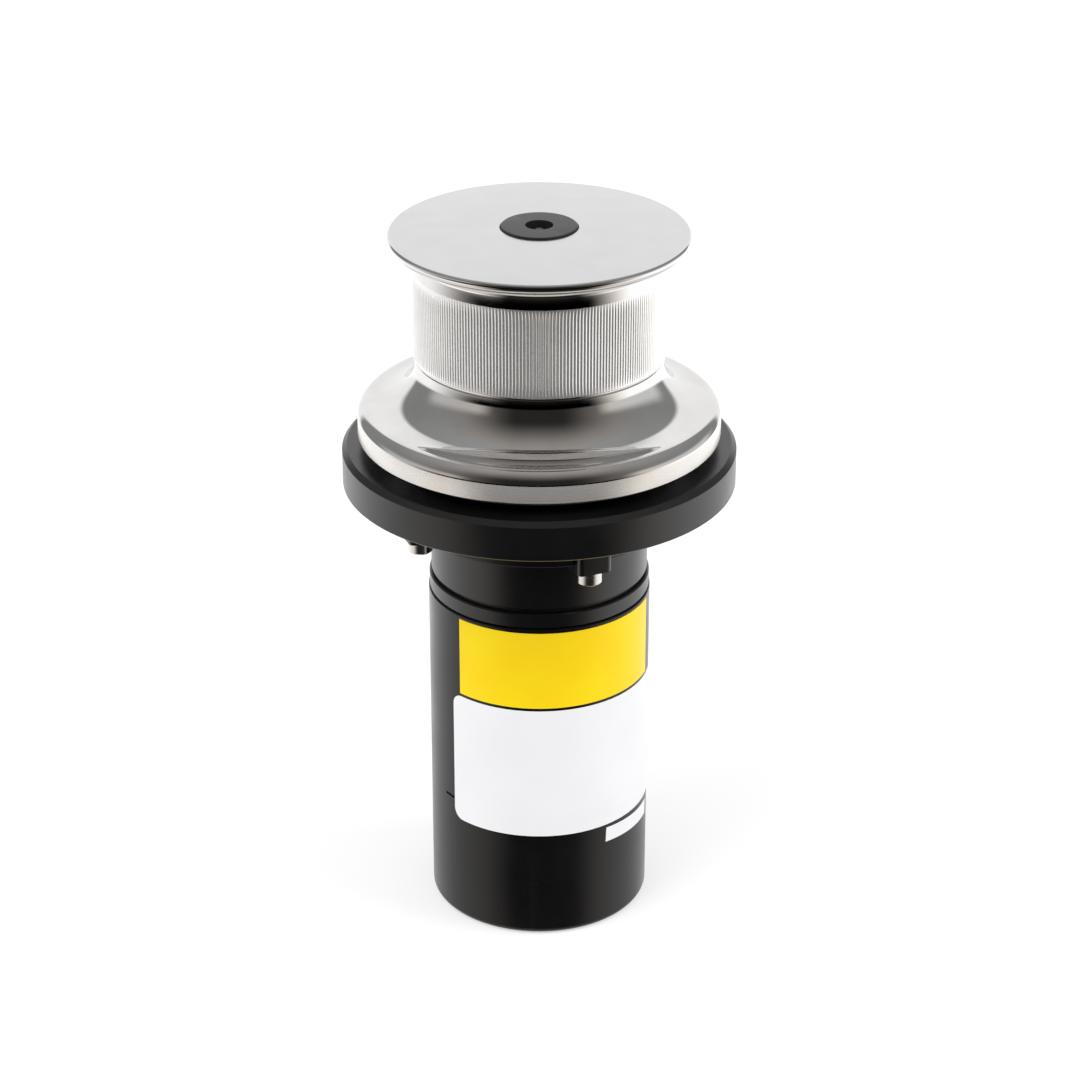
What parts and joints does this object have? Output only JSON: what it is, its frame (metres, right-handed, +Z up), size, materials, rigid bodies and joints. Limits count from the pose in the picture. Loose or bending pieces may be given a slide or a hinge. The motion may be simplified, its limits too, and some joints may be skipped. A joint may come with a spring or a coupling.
{
  "type": "deck capstan",
  "caption": "Electric deck capstan: a vertical rope drum above a deck flange, turned by a planetary gearbox and motor hanging below it.",
  "frame": {"origin": "on the drum's axis, in the deck's plane: the underside of the base flange", "axes": "+Z up along the drum's axis, +X to the right and +Y to the back, where the supply lead enters the motor"},
  "size_m": [0.158, 0.158, 0.2963],
  "materials": {
    "polished_stainless": "polished stainless steel, turned",
    "steel": "ground steel",
    "bearing_steel": "ground and lapped bearing steel",
    "stainless_screws": "bright stainless steel",
    "black_casting": "cast, machined, satin black coat",
    "black_steel": "satin black paint on steel",
    "cap_plastic": "satin grey moulding",
    "rubber": "matt black rubber",
    "gear_steel": "hobbed and case hardened, oiled",
    "brass_cage": "pressed brass",
    "ferrite": "ground ferrite",
    "lamination": "stacked electrical steel",
    "copper": "enamelled copper wire",
    "commutator_copper": "turned copper bars",
    "insulator": "paper-filled phenolic board",
    "carbon": "sintered carbon and copper",
    "brush_brass": "folded brass sheet"
  },
  "bodies": {
    "base": {"base_flange": "black_casting", "gearbox_housing": "black_casting", "gearbox_screws": "stainless_screws", "flange_o_ring": "rubber", "plate_o_ring": "rubber", "ring_gear": "gear_steel", "shaft_seal": "rubber", "bearing_circlips": "steel", "upper_bearing_outer_race": "bearing_steel", "lower_bearing_outer_race": "bearing_steel", "motor_front_plate": "black_casting", "motor_shaft_seal": "rubber", "motor_casing": "black_steel", "motor_through_bolts": "steel", "motor_magnets": "ferrite", "brush_plate": "insulator", "brush_holders": "brush_brass", "brushes": "carbon", "brush_springs": "steel", "rear_bearing_washer": "steel", "front_motor_bearing_outer_race": "bearing_steel", "rear_motor_bearing_outer_race": "bearing_steel", "lead_grommet": "rubber"},
    "drum": {"drum": "polished_stainless", "drum_cap": "cap_plastic", "drum_bolt": "stainless_screws", "drum_washer": "stainless_screws", "drum_key": "steel", "output_shaft": "steel", "shaft_circlip": "steel", "output_carrier": "steel", "output_planet_pins": "steel", "upper_bearing_inner_race": "bearing_steel", "lower_bearing_inner_race": "bearing_steel"},
    "middle_carrier": {"middle_carrier": "steel", "output_sun": "gear_steel", "input_planet_pins": "steel"},
    "rotor": {"armature_shaft": "steel", "armature_core": "lamination", "armature_windings": "copper", "commutator": "commutator_copper", "input_sun": "gear_steel", "front_motor_bearing_inner_race": "bearing_steel", "rear_motor_bearing_inner_race": "bearing_steel"},
    "upper_bearing_cage": {"upper_bearing_cage": "brass_cage", "upper_bearing_balls": "bearing_steel"},
    "lower_bearing_cage": {"lower_bearing_cage": "brass_cage", "lower_bearing_balls": "bearing_steel"},
    "front_motor_bearing_cage": {"front_motor_bearing_cage": "brass_cage", "front_motor_bearing_balls": "bearing_steel"},
    "rear_motor_bearing_cage": {"rear_motor_bearing_cage": "brass_cage", "rear_motor_bearing_balls": "bearing_steel"},
    "output_planet_1": {"output_planet_1": "gear_steel"},
    "output_planet_2": {"output_planet_2": "gear_steel"},
    "output_planet_3": {"output_planet_3": "gear_steel"},
    "input_planet_1": {"input_planet_1": "gear_steel"},
    "input_planet_2": {"input_planet_2": "gear_steel"},
    "input_planet_3": {"input_planet_3": "gear_steel"}
  },
  "joints": [
    {"name": "drum_spin", "type": "hinge", "parent": "base", "child": "drum", "pos_m": [0, 0, 0], "axis": [0, 0, 1], "continuous": true},
    {"name": "middle_carrier_spin", "type": "hinge", "parent": "base", "child": "middle_carrier", "pos_m": [0, 0, 0], "axis": [0, 0, 1], "continuous": true},
    {"name": "rotor_spin", "type": "hinge", "parent": "base", "child": "rotor", "pos_m": [0, 0, 0], "axis": [0, 0, 1], "continuous": true},
    {"name": "upper_cage_spin", "type": "hinge", "parent": "base", "child": "upper_bearing_cage", "pos_m": [0, 0, 0], "axis": [0, 0, 1], "continuous": true},
    {"name": "lower_cage_spin", "type": "hinge", "parent": "base", "child": "lower_bearing_cage", "pos_m": [0, 0, 0], "axis": [0, 0, 1], "continuous": true},
    {"name": "front_motor_cage_spin", "type": "hinge", "parent": "base", "child": "front_motor_bearing_cage", "pos_m": [0, 0, 0], "axis": [0, 0, 1], "continuous": true},
    {"name": "rear_motor_cage_spin", "type": "hinge", "parent": "base", "child": "rear_motor_bearing_cage", "pos_m": [0, 0, 0], "axis": [0, 0, 1], "continuous": true},
    {"name": "output_planet_1_spin", "type": "hinge", "parent": "drum", "child": "output_planet_1", "pos_m": [0.0225, 0, 0], "axis": [0, 0, 1], "continuous": true},
    {"name": "input_planet_1_spin", "type": "hinge", "parent": "middle_carrier", "child": "input_planet_1", "pos_m": [0.0225, 0, 0], "axis": [0, 0, 1], "continuous": true},
    {"name": "output_planet_2_spin", "type": "hinge", "parent": "drum", "child": "output_planet_2", "pos_m": [-0.01125, 0.01949, 0], "axis": [0, 0, 1], "continuous": true},
    {"name": "input_planet_2_spin", "type": "hinge", "parent": "middle_carrier", "child": "input_planet_2", "pos_m": [-0.01125, 0.01949, 0], "axis": [0, 0, 1], "continuous": true},
    {"name": "output_planet_3_spin", "type": "hinge", "parent": "drum", "child": "output_planet_3", "pos_m": [-0.01125, -0.01949, 0], "axis": [0, 0, 1], "continuous": true},
    {"name": "input_planet_3_spin", "type": "hinge", "parent": "middle_carrier", "child": "input_planet_3", "pos_m": [-0.01125, -0.01949, 0], "axis": [0, 0, 1], "continuous": true}
  ],
  "couplings": [
    {"joint": "middle_carrier_spin", "follows": "drum_spin", "ratio": 6},
    {"joint": "rotor_spin", "follows": "drum_spin", "ratio": 36},
    {"joint": "upper_cage_spin", "follows": "drum_spin", "ratio": 0.3987},
    {"joint": "lower_cage_spin", "follows": "drum_spin", "ratio": 0.3987},
    {"joint": "front_motor_cage_spin", "follows": "drum_spin", "ratio": 13.402},
    {"joint": "rear_motor_cage_spin", "follows": "drum_spin", "ratio": 13.402},
    {"joint": "output_planet_1_spin", "follows": "drum_spin", "ratio": -2.5},
    {"joint": "input_planet_1_spin", "follows": "drum_spin", "ratio": -15},
    {"joint": "output_planet_2_spin", "follows": "drum_spin", "ratio": -2.5},
    {"joint": "input_planet_2_spin", "follows": "drum_spin", "ratio": -15},
    {"joint": "output_planet_3_spin", "follows": "drum_spin", "ratio": -2.5},
    {"joint": "input_planet_3_spin", "follows": "drum_spin", "ratio": -15}
  ]
}
